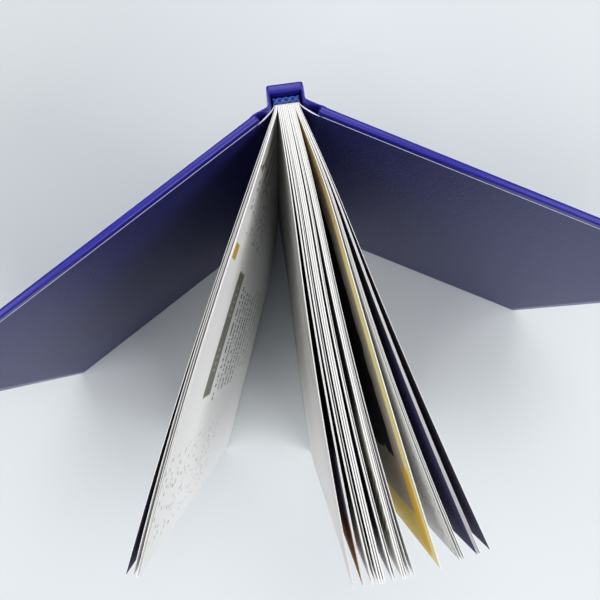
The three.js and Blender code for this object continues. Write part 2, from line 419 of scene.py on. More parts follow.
def add_node(
    tree: NodeTree, kind: str, inputs: dict[Any, Any] | None = None, **settings: Any
) -> Any:
    """Adds a node with its settings, values and links.

    Args:
        tree: Node tree that takes the node.
        kind: Blender's name of the node type.
        inputs: Value or output socket for each input, by name or number.
        **settings: Properties to set on the node.

    Returns:
        The node.
    """
    node = tree.nodes.new(kind)
    for name, value in settings.items():
        setattr(node, name, value)
    fill_inputs(tree, node, inputs or {})
    return node


def new_material(name: str) -> tuple[Material, NodeTree, Any]:
    """Material with an empty tree but for its shader and output.

    Args:
        name: Name of the material.

    Returns:
        The material, its node tree and its Principled shader.
    """
    material = bpy.data.materials.new(name)
    material.use_nodes = True
    tree = material.node_tree
    tree.nodes.clear()
    shader = add_node(tree, "ShaderNodeBsdfPrincipled")
    add_node(tree, "ShaderNodeOutputMaterial", {"Surface": shader.outputs[0]})
    return material, tree, shader


def blend_colours(tree: NodeTree, factor: Any, first: Any, second: Any) -> Any:
    """Output socket of two colours mixed by a factor."""
    mix = add_node(tree, "ShaderNodeMix", {0: factor, 6: first, 7: second}, data_type="RGBA")
    return mix.outputs[2]


def noise(tree: NodeTree, coordinate: Any, feature: float, detail: float = 3.0) -> Any:
    """Output socket of noise whose features are about that wide, in the coordinate's own unit."""
    inputs = {"Vector": coordinate, "Scale": 1 / feature, "Detail": detail}
    return add_node(tree, "ShaderNodeTexNoise", inputs).outputs["Fac"]


def stretched(tree: NodeTree, coordinate: Any, factors: Triple) -> Any:
    """Output socket of a coordinate multiplied by one factor for each axis."""
    inputs = {0: coordinate, 1: factors}
    return add_node(tree, "ShaderNodeVectorMath", inputs, operation="MULTIPLY").outputs[0]


def relief(tree: NodeTree, height: Any, depth_mm: float) -> Any:
    """Output socket of normals that follow a height pattern of that depth."""
    inputs = {"Height": height, "Distance": depth_mm * MM, "Strength": 1.0}
    return add_node(tree, "ShaderNodeBump", inputs).outputs[0]


@dataclass(frozen=True)
class MottledFinish:
    """Base of the finishes that have two shades in soft clouds over a fine relief.

    Attributes:
        second_shade: Colour that the clouds bring in.
        clouds: Width of the clouds in millimetres, and how finely they break up.
        grain: The same for the relief.
        sockets: Values of the shader's other sockets, by name.
    """

    name: str
    shade: str
    second_shade: str
    clouds: Pair
    grain: Pair
    depth_mm: float
    roughness: float
    sockets: Sockets = ()

    def material(self) -> Material:
        """Builds the finish."""
        material, tree, shader = new_material(self.name)
        place = add_node(tree, "ShaderNodeTexCoord").outputs["Object"]
        cloud = noise(tree, place, self.clouds[0] * MM, self.clouds[1])
        bumps = noise(tree, place, self.grain[0] * MM, self.grain[1])
        inputs = {
            "Base Color": blend_colours(tree, cloud, linear(self.shade), linear(self.second_shade)),
            "Roughness": self.roughness,
            "Normal": relief(tree, bumps, self.depth_mm),
        }
        fill_inputs(tree, shader, inputs | dict(self.sockets))
        return material


@dataclass(frozen=True)
class LaminatedSheet(MottledFinish):
    """Printed paper with a satin film, drawn over board: saturated, with soft long highlights.

    The film shows the board's faint orange-peel, and the ink has a faint cloud of a deeper
    shade.
    """

    name: str = "satin_laminated_paper"
    shade: str = "#292591"
    second_shade: str = "#231F81"
    clouds: Pair = (22.0, 2.0)
    grain: Pair = (0.9, 2.0)
    depth_mm: float = 0.012
    roughness: float = 0.3
    sockets: Sockets = (
        ("Specular IOR Level", 0.32),
        ("Coat Weight", 0.08),
        ("Coat Roughness", 0.12),
    )


@dataclass(frozen=True)
class NavyEndpaper(MottledFinish):
    """Uncoated endpaper flooded with navy ink: matt, faintly mottled where the ink sank in."""

    name: str = "navy_printed_endpaper"
    shade: str = "#121344"
    second_shade: str = "#272970"
    clouds: Pair = (1.6, 6.0)
    grain: Pair = (0.9, 3.0)
    depth_mm: float = 0.15
    roughness: float = 0.46
    sockets: Sockets = (
        ("Specular IOR Level", 0.72),
        ("Specular Tint", linear("#B2B5FF")),
    )


@dataclass(frozen=True)
class WovenThread(MottledFinish):
    """Rayon thread of a woven band: bright, slightly glossy filaments lying side by side."""

    second_shade: str = "#0E1A4A"
    clouds: Pair = (0.12, 2.0)
    grain: Pair = (0.12, 2.0)
    depth_mm: float = 0.04
    roughness: float = 0.45
    sockets: Sockets = (("Sheen Weight", 0.2),)


@dataclass(frozen=True)
class KraftLining(MottledFinish):
    """Kraft paper of the spine lining: pressed waste paper, dull and flecked."""

    name: str = "kraft_lining"
    shade: str = "#CFC7B4"
    second_shade: str = "#B5AB95"
    clouds: Pair = (0.7, 5.0)
    grain: Pair = (0.7, 5.0)
    depth_mm: float = 0.05
    roughness: float = 0.85


@dataclass(frozen=True)
class Mark:
    """One mark on a page, placed by shares of the page: print, and on some pages painted shade or
    painted light.

    Attributes:
        ink: Colour of the ink, or of the painted shade or light that the mark stands for.
        across: Start and end from spine to fore-edge.
        up: Start and end from tail to head.
        style: How the mark fills that rectangle.
        size_mm: Line spacing, dot size or width of an arc.
        strength: How much of the mark's colour covers the paper.
        soft_mm: Width over which its edges fade.
        ragged_mm: How far its edges wander.
    """

    ink: str
    across: Pair
    up: Pair = (0.0, 1.0)
    style: Style = Style.SOLID
    size_mm: float = 5.0
    strength: float = 1.0
    soft_mm: float = 0.6
    ragged_mm: float = 0.0


@dataclass(frozen=True)
class PrintedPaper:
    """Uncoated book paper: off-white, matt, with fine fibres, and whatever is printed on it; some
    pages also carry painted shade and painted light.

    Attributes:
        marks: What is printed on it, and any painted shade or light, in order.
        fibre_share: How much of their own colour the fibres bring in.
        wander_mm: Length of the waves of a ragged edge.
        text_mm: Height of the dashes in a row of text.
        line_mm: Weight of a ruled line.
        word_mm: Length scale of a row's dashes.
        word_stretch: Factor on the pattern's height; it is low, so a dash stands upright.
        word_gap: Level of the pattern at which a dash starts, and its softness.
        dot_share: Radius of a dot or speck in its cell, and its softness.
        slant: How far diagonal stripes lean.
        stripe_share: Part of a stripe's pitch that is inked.
        ring_share: Part of an arc's pitch that is inked, and its softness.
        ring_pitch: Pitch of the arcs, in widths of an arc.
    """

    name: str
    paper: str = "#F3F3F1"
    marks: tuple[Mark, ...] = ()
    roughness: float = 0.78
    specular: float = 0.3
    fibre_ink: str = "#B9B4A8"
    fibre_share: float = 0.05
    fibre_mm: float = 0.35
    fibre_detail: float = 4.0
    depth_mm: float = 0.02
    wander_mm: float = 9.0
    text_mm: float = 3.4
    line_mm: float = 1.0
    word_mm: float = 1.1
    word_detail: float = 2.0
    word_stretch: float = 0.05
    word_gap: Pair = (0.47, 0.06)
    dot_share: Pair = (0.24, 0.1)
    slant: float = 0.6
    stripe_share: float = 0.5
    ring_share: Pair = (0.25, 0.08)
    ring_pitch: float = 4

    def material(self) -> Material:
        """Builds the finish."""
        material, tree, shader = new_material(self.name)
        source = add_node(tree, "ShaderNodeTexCoord")
        page = stretched(tree, source.outputs["UV"], (SIZES.leaf_width, SIZES.leaf_height, 1.0))
        split = add_node(tree, "ShaderNodeSeparateXYZ", {0: page})
        fibres = noise(tree, source.outputs["Object"], self.fibre_mm * MM, self.fibre_detail)
        inputs = {0: fibres, 1: self.fibre_share}
        shade = add_node(tree, "ShaderNodeMath", inputs, operation="MULTIPLY").outputs[0]
        colour = blend_colours(tree, shade, linear(self.paper), linear(self.fibre_ink))
        for mark in self.marks:
            cover = self._cover(tree, page, split.outputs[0], split.outputs[1], mark)
            colour = blend_colours(tree, cover, colour, linear(mark.ink))
        inputs = {
            "Base Color": colour,
            "Roughness": self.roughness,
            "Specular IOR Level": self.specular,
            "Normal": relief(tree, fibres, self.depth_mm),
        }
        fill_inputs(tree, shader, inputs)
        return material

    def _cover(self, tree: NodeTree, page: Any, across: Any, up: Any, mark: Mark) -> Any:
        """Share of the mark's colour at each point of the page.

        Args:
            tree: Node tree of the page's material.
            page: Place on the page in millimetres.
            across: Distance from the spine.
            up: Distance from the tail.
            mark: The mark.

        Returns:
            Output socket of the share, 0 to 1.
        """

        def math_node(operation: str, first: Any, second: Any) -> Any:
            """Output of a two-value sum, product or comparison."""
            inputs = {0: first, 1: second}
            return add_node(tree, "ShaderNodeMath", inputs, operation=operation).outputs[0]

        def fade(value: Any, edge: float, falling: bool, soft: float) -> Any:
            """Share that rises, or falls, across an edge over a soft width."""
            ends = (1.0, 0.0) if falling else (0.0, 1.0)
            inputs = {0: value, 1: edge - soft / 2, 2: edge + soft / 2, 3: ends[0], 4: ends[1]}
            ramp = add_node(tree, "ShaderNodeMapRange", inputs, interpolation_type="SMOOTHSTEP")
            return ramp.outputs[0]

        if mark.ragged_mm:
            waves = noise(tree, page, self.wander_mm)
            wander = math_node("MULTIPLY", math_node("SUBTRACT", waves, 0.5), mark.ragged_mm)
            across, up = math_node("ADD", across, wander), math_node("ADD", up, wander)
        shares: list[Any] = []
        for value, (low, high), full in (
            (across, mark.across, SIZES.leaf_width),
            (up, mark.up, SIZES.leaf_height),
        ):
            if low > 0:
                shares.append(fade(value, low * full, False, mark.soft_mm))
            if high < 1:
                shares.append(fade(value, high * full, True, mark.soft_mm))
        size = mark.size_mm
        if mark.style in (Style.TEXT_ROWS, Style.RULED_LINES):
            row = math_node("FRACT", math_node("DIVIDE", up, size), 0.0)
            weight = self.line_mm if mark.style is Style.RULED_LINES else self.text_mm
            shares.append(math_node("LESS_THAN", row, weight / size))
        if mark.style is Style.TEXT_ROWS:
            level, soft = self.word_gap
            flat = stretched(tree, page, (1.0, self.word_stretch, 1.0))
            dashes = noise(tree, flat, self.word_mm, self.word_detail)
            shares.append(fade(dashes, level, False, soft))
        if mark.style in (Style.SPECKLE, Style.DOTS):
            spread = 0.0 if mark.style is Style.DOTS else 1.0
            inputs = {"Vector": page, "Scale": 1 / size, "Randomness": spread}
            cells = add_node(tree, "ShaderNodeTexVoronoi", inputs).outputs["Distance"]
            radius, soft = self.dot_share
            shares.append(fade(cells, radius, True, soft))
        if mark.style is Style.STRIPES:
            lean = math_node("ADD", across, math_node("MULTIPLY", up, self.slant))
            band = math_node("FRACT", math_node("DIVIDE", lean, size), 0.0)
            shares.append(math_node("LESS_THAN", band, self.stripe_share))
        if mark.style is Style.ARC:
            middle = (mark.across[0] * SIZES.leaf_width, mark.up[1] * SIZES.leaf_height, 0.0)
            inputs = {0: page, 1: middle}
            reach = add_node(tree, "ShaderNodeVectorMath", inputs, operation="DISTANCE")
            turns = math_node("DIVIDE", reach.outputs["Value"], size * self.ring_pitch)
            width, soft = self.ring_share
            ring = math_node("FRACT", turns, 0.0)
            shares.append(fade(ring, width, True, soft))
        inside: Any = mark.strength
        for share in shares:
            inside = math_node("MULTIPLY", share, inside)
        return inside


WHITE = PrintedPaper("book_paper")
EDGE = PrintedPaper("cut_paper_edge", paper="#EDECE8")
LILAC = PrintedPaper("lilac_tinted_page", paper="#E3DFEA")
FORM = PrintedPaper(
    "fill_in_page",
    paper="#FAFAF9",
    marks=(
        Mark("#7C7D72", (0.335, 0.655), (0.745, 0.83), soft_mm=1.2),
        Mark("#D9D9D2", (0.37, 0.46), (0.77, 0.8), Style.DOTS, 2.6, 0.8),
        Mark("#D9D9D2", (0.52, 0.6), (0.77, 0.8), Style.DOTS, 2.6, 0.8),
        Mark("#35353A", (0.35, 0.68), (0.67, 0.72), Style.TEXT_ROWS, 13.0),
        Mark("#5C5C60", (0.37, 0.66), (0.4, 0.66), Style.TEXT_ROWS, 11.0, 0.9),
        Mark("#8A8A8E", (0.34, 0.62), (0.15, 0.4), Style.TEXT_ROWS, 15.0, 0.7),
        Mark("#9B9AA8", (0.68, 0.79), (0.3, 0.8), Style.RULED_LINES, 8.0, 0.45),
        Mark("#CDA52C", (0.293, 0.327), (0.945, 0.99), soft_mm=0.8),
        # Darker towards the binding: painted shade in the gutter.
        Mark("#84847E", (0.0, 0.16), strength=0.6, soft_mm=30.0),
        Mark("#94824E", (0.04, 0.13), (0.78, 1.0), Style.ARC, 3.2, 0.95),
        Mark("#34333C", (0.09, 0.26), (0.6, 0.97), Style.SPECKLE, 3.6, 0.85),
        Mark("#86886F", (0.76, 0.96), (0.45, 1.0), Style.SPECKLE, 3.0, 0.7),
    ),
)
# Grey paper and a darker band towards the binding: painted shade over the page. The paler stretch
# towards the fore-edge is painted light where that shade gives out. The olive arcs are print.
ARCHED_IN_PAINTED_SHADE = PrintedPaper(
    "arched_page_in_painted_shade",
    paper="#C2C1BC",
    marks=(
        Mark("#94855A", (0.36, 0.6), (0.82, 1.0), Style.ARC, 5.0, 0.6),
        Mark("#6B6A64", (0.0, 0.42), strength=0.55, soft_mm=80.0),
        Mark("#F6F4F2", (0.7, 1.0), soft_mm=60.0),
    ),
)
# Near-black paper: partly print, partly painted shade between the leaves.
DARK_BROWN = PrintedPaper(
    "dark_and_brown_page",
    paper="#16151C",
    marks=(
        Mark("#A99DB4", (0.74, 0.89), soft_mm=1.5),
        Mark("#A8744A", (0.885, 1.0), soft_mm=5.0),
    ),
)
# Near-black paper, partly print and partly painted shade between the leaves, fading to pale towards
# the fore-edge where that shade ends.
DARK_FADING = PrintedPaper(
    "dark_fading_page",
    paper="#17161E",
    marks=(Mark("#E2E0DF", (0.87, 1.0), soft_mm=18.0),),
)
# Near-black paper: partly print, partly painted shade between the leaves.
DARK_LINED = PrintedPaper(
    "dark_page",
    paper="#17161E",
    marks=(Mark("#E9E7E4", (0.93, 1.0), soft_mm=1.5),),
)
# Dark navy paper, partly print and partly painted shade between the leaves, turning pale near the
# fore-edge.
NAVY_PRINT_AND_SHADE = PrintedPaper(
    "navy_print_and_painted_shade_page",
    paper="#1B1A33",
    marks=(Mark("#C9C7CE", (0.92, 1.0), soft_mm=9.0),),
)
STRIPED = PrintedPaper(
    "striped_page",
    paper="#D2CEC6",
    marks=(
        # Darker towards the binding: painted shade, where the face lies deep between the leaves.
        Mark("#2E2B2C", (0.0, 0.66), strength=0.9, soft_mm=14.0),
        Mark("#8A8466", (0.78, 0.92), (0.0, 1.0), Style.STRIPES, 4.0, 0.85),
        Mark("#E8E6E2", (0.93, 1.0), soft_mm=1.5),
    ),
)
BORDERED = PrintedPaper(
    "bordered_page",
    paper="#B4AFAA",
    marks=(
        Mark("#191928", (0.0, 0.79), (0.0, 0.89), soft_mm=1.0, ragged_mm=7.0),
        Mark("#38356E", (0.2, 0.77), (0.3, 0.86), Style.SPECKLE, 3.6, 0.8),
        Mark("#EBD37C", (0.915, 1.0), soft_mm=1.0),
        Mark("#F6EAA6", (0.0, 1.0), (0.96, 1.0), soft_mm=0.8),
        # Brown towards the binding along the head: painted shade between the leaves.
        Mark("#A87A36", (0.0, 0.27), (0.945, 1.0), strength=0.8, soft_mm=40.0),
        Mark("#DFB63A", (0.8, 0.985), (0.925, 0.972), soft_mm=3.0),
    ),
)
SPECKLED = PrintedPaper(
    "speckled_page",
    paper="#E6E5E2",
    marks=(Mark("#77777A", (0.78, 1.0), (0.6, 1.0), Style.SPECKLE, 2.6, 0.6),),
)
VIOLET = PrintedPaper(
    "violet_tinted_page",
    paper="#3A3668",
    # Near-black towards the binding: painted shade between the leaves.
    marks=(Mark("#141326", (0.0, 0.55), soft_mm=50.0),),
)
NAVY = PrintedPaper(
    "navy_flyleaf",
    paper="#17162B",
    marks=(Mark("#4F4B70", (0.84, 1.0), strength=0.8, soft_mm=45.0),),
)


# The book


@dataclass(frozen=True)
class Bundle:
    """Leaves that lie together in the fan, from the front cover to the back.

    Attributes:
        leaves: How many there are.
        head: Angles from the closed position at the head, in degrees: at the root, where the
            leaf has settled, and at the tip.
        tail: The same at the tail.
        first: What the face towards the front cover shows.
        last: What the face towards the back cover shows.
        inner: What the faces between them show.
        loose: Angle between neighbouring sections, in degrees; the leaves of one section
            stand a twentieth of it apart.
    """

    leaves: int
    head: Triple
    tail: Triple
    first: PrintedPaper = WHITE
    last: PrintedPaper = WHITE
    inner: PrintedPaper = WHITE
    loose: float = 0.1


BUNDLES = (
    Bundle(2, (-26, -27, -21.2), (-17, -22.6, -24), last=LILAC, loose=6),
    Bundle(3, (-25, -26.3, -22.3), (-14, -21.7, -23.2), last=FORM, loose=1.5),
    Bundle(2, (0.9, -1.1, 3.2), (1.5, -1, -0.2), first=ARCHED_IN_PAINTED_SHADE, loose=0.5),
    Bundle(3, (2, 0.1, 4.1), (2.2, -0.6, 0.4), first=DARK_BROWN, loose=0.8),
    Bundle(4, (3, 0.4, 6.2), (3, -0.1, 1.4), first=DARK_FADING, loose=0.2),
    Bundle(9, (3.8, 1.1, 6.4), (3.8, 0.6, 2), first=DARK_LINED, loose=0.1),
    Bundle(4, (5.2, 1.4, 8), (5, 1.2, 3), first=NAVY_PRINT_AND_SHADE, loose=0.3),
    Bundle(7, (5.9, 3.2, 7.9), (5.6, 2.2, 3.4), first=STRIPED, loose=0.12),
    Bundle(2, (6.3, 3.5, 9.4), (5.8, 2.6, 4.4), loose=6),
    Bundle(2, (14.2, 7.6, 9.4), (7, 5.6, 5.2), first=BORDERED, loose=0.5),
    Bundle(3, (15.2, 8.6, 15.1), (10, 7.2, 8.8), first=SPECKLED, loose=4),
    Bundle(3, (16, 11.7, 15.5), (12, 9.9, 11.3), first=VIOLET, inner=LILAC, loose=3),
)
FRONT_FLYLEAF = Bundle(1, (-27.2, -27, -23.4), (-20, -23.4, -24.6), first=NAVY, last=NAVY)
BACK_FLYLEAF = Bundle(1, (16.2, 13.5, 16.5), (13.4, 12, 13.2), first=NAVY, last=NAVY)


@dataclass
class TextBlock:
    """The bound leaves, fanned, with the two flyleaves outside them.

    A leaf is a curved strip. Its direction in plan turns from 0 at the binding to its root
    angle over flex_length, from there to its settled angle at settle_length, both in smooth
    steps, and evenly from there to its tip angle. All three go evenly from those at the tail
    to those at the head. The leaves have sagged, so they sink with the distance from the
    binding and hang forward at the head.

    Attributes:
        cockle: Height of the waves of the fore-edge.
        cockle_waves: How many of them there are from tail to head.
        signature: Leaves in a section.
        pressed_share: Angle between the leaves of a section, as a share of the sections'.
        loose_range: How far the angles vary, as shares of their usual size.
        pressed_pitch: Distance between the leaves of a section at the binding.
    """

    sizes: BookSizes = SIZES
    bend_steps: int = 5
    settle_steps: int = 18
    spread_steps: int = 22
    up_steps: int = 16
    cockle: float = 0.1
    cockle_waves: float = 1.1
    flyleaf_gap: float = 0.08
    signature: int = 3
    pressed_share: float = 0.05
    loose_range: Pair = (0.5, 1.5)
    pressed_pitch: float = 0.143

    def build(self) -> list[Object]:
        """Builds every leaf and puts it on the block."""
        random = np.random.default_rng(RANDOM_SEED)
        finishes: dict[str, Material] = {}

        def finish(paper: PrintedPaper) -> Material:
            """Material of a paper, made once."""
            if paper.name not in finishes:
                finishes[paper.name] = paper.material()
            return finishes[paper.name]

        pitch = self.sizes.leaf_pitch
        count = sum(bundle.leaves for bundle in BUNDLES)
        edge = -count * pitch / 2
        pieces = []
        for number, bundle in enumerate(BUNDLES, start=1):
            surfaces = []
            starts = np.arange(bundle.leaves) % self.signature == 0
            opens = np.where(starts, 1.0, self.pressed_share)
            gaps = bundle.loose * opens * random.uniform(*self.loose_range, bundle.leaves)
            spreads = np.cumsum(gaps) - gaps.sum() / 2 - gaps[0] / 2
            phase = random.uniform(0, 2 * math.pi)
            for leaf in range(bundle.leaves):
                within = leaf % self.signature - (min(self.signature, bundle.leaves) - 1) / 2
                root = edge + (leaf + 0.5) * pitch + within * (self.pressed_pitch - pitch)
                surface = self._leaf(bundle, root, float(spreads[leaf]), phase)
                if leaf > 0:
                    surface.tints[surface.tints == FIRST_FACE] = INNER_FACE
                if leaf < bundle.leaves - 1:
                    surface.tints[surface.tints == LAST_FACE] = INNER_FACE
                surfaces.append(surface)
            edge += bundle.leaves * pitch
            papers = [bundle.first, bundle.last, EDGE, bundle.inner]
            page_materials = [finish(paper) for paper in papers]
            piece = make_object(f"leaves_{number:02d}", joined(surfaces), page_materials)
            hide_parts("pages")
            pieces.append(piece)
        offset = count * pitch / 2 + self.flyleaf_gap + pitch / 2
        for side, bundle in ((Side.FRONT, FRONT_FLYLEAF), (Side.BACK, BACK_FLYLEAF)):
            surface = self._leaf(bundle, side.value * offset, 0.0, side.value)
            papers = [bundle.first, bundle.last, EDGE]
            page_materials = [finish(paper) for paper in papers]
            piece = make_object(f"{side.label}_flyleaf_sheet", surface, page_materials)
            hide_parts(f"{side.label}_flyleaf")
            pieces.append(piece)
        for piece in pieces:
            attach(piece, "block")
        return pieces

    def _leaf(self, bundle: Bundle, root: float, spread: float, phase: float) -> Surface:
        """One leaf as a thin solid.

        Args:
            bundle: The bundle that gives its angles.
            root: X of the leaf at the back of the block.
            spread: Angle that this leaf adds to the bundle's.
            phase: Where the cockle of the fore-edge starts, in radians.

        Returns:
            The leaf's surface.
        """
        sizes = self.sizes
        flex, settle, width = sizes.flex_length, sizes.settle_length, sizes.leaf_width
        distance = np.concatenate(
            [
                np.linspace(0, flex, self.bend_steps, endpoint=False),
                np.linspace(flex, settle, self.settle_steps, endpoint=False),
                np.linspace(settle, width, self.spread_steps),
            ]
        )
        mix = np.linspace(0, 1, self.up_steps)[None, :]
        root_angle, settled_angle, tip_angle = (
            tail + (head - tail) * mix + spread for head, tail in zip(bundle.head, bundle.tail)
        )
        share = np.clip((distance - settle) / (width - settle), 0, 1)[:, None]
        near = root_angle * smooth_step(distance, 0, flex)[:, None]
        near = near + (settled_angle - near) * smooth_step(distance, flex, settle)[:, None]
        angle = np.radians(near + (tip_angle - settled_angle) * share)
        sag = math.sin(math.radians(sizes.sag_angle))
        stretch = 1 + (mix - 0.5) * sizes.leaf_height * sag / width
        step = np.diff(distance)[:, None] * stretch
        middle_angle = (angle[1:] + angle[:-1]) / 2
        start = np.zeros((1, self.up_steps))
        x = root + np.concatenate([start, np.cumsum(step * np.sin(middle_angle), axis=0)])
        depth = np.concatenate([start, np.cumsum(step * np.cos(middle_angle), axis=0)])
        y = sizes.block_back - depth
        z = sizes.squares + sizes.leaf_height * mix - sag * distance[:, None]
        normal = np.stack([np.cos(angle), np.sin(angle), 0 * angle], axis=-1)
        waves = 2 * self.cockle_waves * math.pi * mix
        ripple = self.cockle * share**2 * np.sin(waves + phase)
        middle = np.stack([x, y, z], axis=-1) + ripple[..., None] * normal
        return thin_solid(middle, normal, sizes.leaf_thickness, distance / width)


@dataclass
class CoverPlace:
    """Where a cover stands: turns (along, outward, height) into the book's frame.

    along runs from the hinge line to the fore-edge, and outward is square to it, away from
    the leaves. The front cover is the back cover's mirror image.
    """

    side: Side
    sizes: BookSizes = SIZES

    def world(self, points: np.ndarray) -> np.ndarray:
        """Points in the book's frame.

        Args:
            points: Rows of along, outward and height.

        Returns:
            Rows of x, y and z.
        """
        turn = math.radians(self.sizes.cover_angle)
        along, outward, height = np.moveaxis(np.asarray(points, dtype=float), -1, 0)
        x = self.sizes.hinge_x + along * math.sin(turn) + outward * math.cos(turn)
        y = self.sizes.hinge_y - along * math.cos(turn) + outward * math.sin(turn)
        return np.stack([self.side.value * x, y, height], axis=-1)

    def plan(self, along: float, outward: float) -> np.ndarray:
        """One point in plan, as x and y in the book's frame."""
        return self.world(np.array([along, outward, 0.0]))[:2]

    def placed(self, surface: Surface) -> Surface:
        """The surface in the book's frame, with its faces outwards."""
        moved = Surface(self.world(surface.points), surface.faces, surface.uvs, surface.tints)
        return moved.flipped() if self.side is Side.FRONT else moved


@dataclass
class Cover:
    """One cover: board in its sheet, pastedown, and the two sheets that cross the joint.

    Attributes:
        turned_thickness: Thickness of the sheet where it is turned in over itself.
        turn_softness: How softly the sheet passes from the one to the other.
        end_rounding: How far from its ends the sheet in the joint is rounded.
        end_margin: How far it stays within the boards at head and tail.
        board_taper: How much it thins out on the board, and between which shares of its run.
        paste_gap: How far the sheet in the joint stands off the spine's side, and off the
            cover's outer face.
        wall_depths: Y of both ends of its run along the spine's side, in plan.
        pastedown_setback: Distance of the pastedown from the board's inner edge.
        groove_depths: Y of the bottom of the front and the back groove.
        fold_thickness: Room that the endpaper takes where it folds.
        pastedown_grid: Points of the pastedown from joint to fore-edge and from tail to head.
        joint_grid: Points of the sheet across the joint and from tail to head.
        fold_grid: The same for the endpaper.
    """

    side: Side
    sheet: Material
    endpaper: Material
    edge: Material
    sizes: BookSizes = SIZES
    corner_radius: float = 0.6
    edge_radius: float = 0.8
    sheet_thickness: float = 0.3
    turned_thickness: float = 0.9
    turn_softness: float = 0.3
    end_rounding: float = 0.5
    end_margin: float = 0.12
    board_taper: Triple = (0.55, 0.45, 0.75)
    paste_gap: Pair = (0.03, 0.02)
    wall_depths: Pair = (-0.3, -2.4)
    board_start: float = 4.6
    pastedown_setback: float = 0.8
    groove_depths: Pair = (-5.3, -4.6)
    endpaper_thickness: float = 0.15
    fold_thickness: float = 0.45
    pastedown_grid: tuple[int, int] = (40, 24)
    joint_grid: tuple[int, int] = (44, 96)
    fold_grid: tuple[int, int] = (26, 60)

    @property
    def place(self) -> CoverPlace:
        """Where this cover stands."""
        return CoverPlace(self.side, self.sizes)

    @property
    def groove_y(self) -> float:
        """Y of the bottom of the groove between the spine and this cover."""
        return self.groove_depths[0] if self.side is Side.FRONT else self.groove_depths[1]

    def build(self) -> list[Object]:
        """Builds the cover's pieces and hangs the board and the pastedown on the cover's body."""
        body = f"{self.side.label}_cover"
        board = self._board()
        pastedown = self._pastedown()
        for piece in (board, pastedown):
            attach(piece, body)
        joint = self._joint_sheet()
        fold = self._endpaper_fold()
        return [board, pastedown, joint, fold]

    def _board(self) -> Object:
        """Board in its covering sheet: a slab with softly rounded edges."""
        sizes = self.sizes
        slab = rounded_slab(
            (self.board_start, -sizes.sheet_offset, 0.0),
            (sizes.cover_end, sizes.cover_outer, sizes.case_height),
            self.corner_radius,
            self.edge_radius,
        )
        piece = make_object(f"{self.side.label}_case_board", self.place.placed(slab), [self.sheet])
        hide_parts(f"{self.side.label}_wrap", f"{self.side.label}_board")
        return piece

    def _pastedown(self) -> Object:
        """Endpaper pasted to the inside of the board."""
        sizes = self.sizes
        start = self.board_start + self.pastedown_setback
        rows, columns = self.pastedown_grid
        along = np.linspace(start, sizes.cover_end - sizes.squares, rows)
        up = np.linspace(sizes.squares, sizes.case_height - sizes.squares, columns)
        a, h = np.meshgrid(along, up, indexing="ij")
        outward = np.full_like(a, -sizes.sheet_offset - self.endpaper_thickness / 2)
        middle = np.stack([a, outward, h], axis=-1)
        normal = np.zeros_like(middle)
        normal[..., 1] = 1.0
        solid = thin_solid(middle, normal, self.endpaper_thickness).flipped()
        piece = make_object(
            f"{self.side.label}_pastedown_sheet",
            self.place.placed(solid),
            [self.endpaper, self.endpaper, self.edge],
        )
        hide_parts(f"{self.side.label}_pastedown")
        return piece

    def _swept(self, route: np.ndarray, heights: np.ndarray, thickness: np.ndarray) -> Surface:
        """Sheet that hangs its thickness on the inner side of a route in plan.

        Each point of the middle surface is the route's point moved half the thickness along
        the route's left-hand normal, so the outer face keeps to the route.

        Args:
            route: Points in plan along the sheet's outer face, in the back cover's sense.
            heights: Height of each row.
            thickness: Thickness at each route point and height.

        Returns:
            The closed sheet in the book's frame.
        """
        tangent = np.gradient(route, axis=0)
        tangent /= np.linalg.norm(tangent, axis=1, keepdims=True)
        normal = np.stack([tangent[:, 1], -tangent[:, 0], 0 * tangent[:, 0]], axis=-1)
        normal = np.repeat(normal[:, None], len(heights), axis=1)
        outer = np.zeros_like(normal)
        outer[..., :2] = route[:, None]
        outer[..., 2] = heights
        solid = thin_solid(outer + normal * thickness[..., None] / 2, normal, thickness)
        if self.side is Side.BACK:
            return solid.flipped()
        solid.points = solid.points * np.array([-1.0, 1.0, 1.0])
        return solid

    def _hang(self, piece: Object) -> None:
        """Bakes the sheet's place into its mesh, so it stays where it was built in the book's frame.
        """
        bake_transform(piece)

    def _joint_sheet(self) -> Object:
        """Covering sheet down the side of the joint and out over the board.

        At head and tail the sheet is turned in over itself and so looks three times as thick.
        """
        sizes = self.sizes
        place = CoverPlace(Side.BACK, sizes)
        side = sizes.spine_width / 2 + self.paste_gap[0]
        level = sizes.cover_outer + self.paste_gap[1]
        top, wall = (np.array([side, depth]) for depth in self.wall_depths)
        corner = np.array([side + 0.05, self.groove_y + 0.75])
        turn = np.array([side + 0.75, self.groove_y - 0.05])
        board = place.plan(self.board_start - 0.5, level - 0.12)
        seat = place.plan(self.board_start + 0.9, level)
        tail = place.plan(self.board_start + 1.9, level - 0.1)
        across, upwards = self.joint_grid
        route = smooth_route(np.stack([top, wall, corner, turn, board, seat, tail]), across)
        heights = end_weighted(self.end_margin, sizes.case_height - self.end_margin, upwards)
        from_end = np.minimum(heights, sizes.case_height - heights)
        doubled = 1 / (1 + np.exp((from_end - sizes.turn_in) / self.turn_softness))
        fall = np.clip(1 - from_end / self.end_rounding, 0, 1)
        rounding = np.sqrt(np.clip(1 - fall**2, 0.1, 1))
        full = self.sheet_thickness + (self.turned_thickness - self.sheet_thickness) * doubled
        along = np.linspace(0, 1, len(route))[:, None]
        thinning, begins, ends = self.board_taper
        taper = 1 - thinning * smooth_step(along, begins, ends)
        surface = self._swept(route, heights, full * rounding * taper)
        surface.tints[:] = 0
        piece = make_object(f"{self.side.label}_joint_sheet", surface, [self.sheet])
        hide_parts(f"{self.side.label}_joint_strip")
        self._hang(piece)
        return piece

